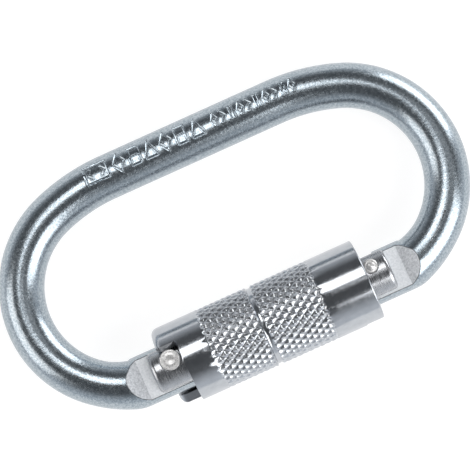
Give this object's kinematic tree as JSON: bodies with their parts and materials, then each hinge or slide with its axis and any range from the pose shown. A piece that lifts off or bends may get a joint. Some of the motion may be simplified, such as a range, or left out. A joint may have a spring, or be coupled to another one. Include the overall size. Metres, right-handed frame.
{
  "type": "twist-lock connector ring",
  "caption": "Oval steel spring-gate ring with a knurled quarter-turn locking sleeve, for carrying keys and joining loops or rings.",
  "frame": {"origin": "centre of the bounding box, in the plane of the loop", "axes": "+X along the long side towards the nose end of the gate, +Y from the gate towards the spine, +Z square to the loop"},
  "size_m": [0.108, 0.0582, 0.0186],
  "materials": {
    "plated_bow": "satin zinc plate",
    "plated_gate": "turned, zinc plated",
    "plated_rivet": "peened, brushed",
    "plated_sleeve": "polished, knurled in two bands",
    "spring_steel": "drawn wire"
  },
  "bodies": {
    "bow": {"bow": "plated_bow"},
    "gate": {"gate_bar": "plated_gate", "hinge_rivet": "plated_rivet", "latch_pin": "plated_rivet", "gate_spring": "spring_steel", "sleeve_spring": "spring_steel"},
    "sleeve": {"locking_sleeve": "plated_sleeve", "retaining_ring": "spring_steel"},
    "plunger": {"gate_plunger": "plated_gate"}
  },
  "joints": [
    {"name": "gate_swing", "type": "hinge", "parent": "bow", "child": "gate", "pos_m": [-0.0235, -0.01858, 0], "axis": [0, 0, 1], "range_deg": [0, 25], "stiffness_Nm_per_rad": 0.06, "springref_deg": -28.65},
    {"name": "sleeve_turn", "type": "hinge", "parent": "gate", "child": "sleeve", "pos_m": [0, -0.01988, 0], "axis": [1, 0, 0], "range_deg": [-90, 0], "deforming": ["sleeve_spring"]},
    {"name": "plunger_slide", "type": "slide", "parent": "gate", "child": "plunger", "axis": [1, 0, 0], "range_m": [0, 0.00035], "deforming": ["gate_spring"]}
  ],
  "couplings": [
    {"joint": "sleeve_turn", "follows": "gate_swing", "ratio": -3.6},
    {"joint": "plunger_slide", "follows": "gate_swing", "m_per_rad": 0.000775}
  ]
}
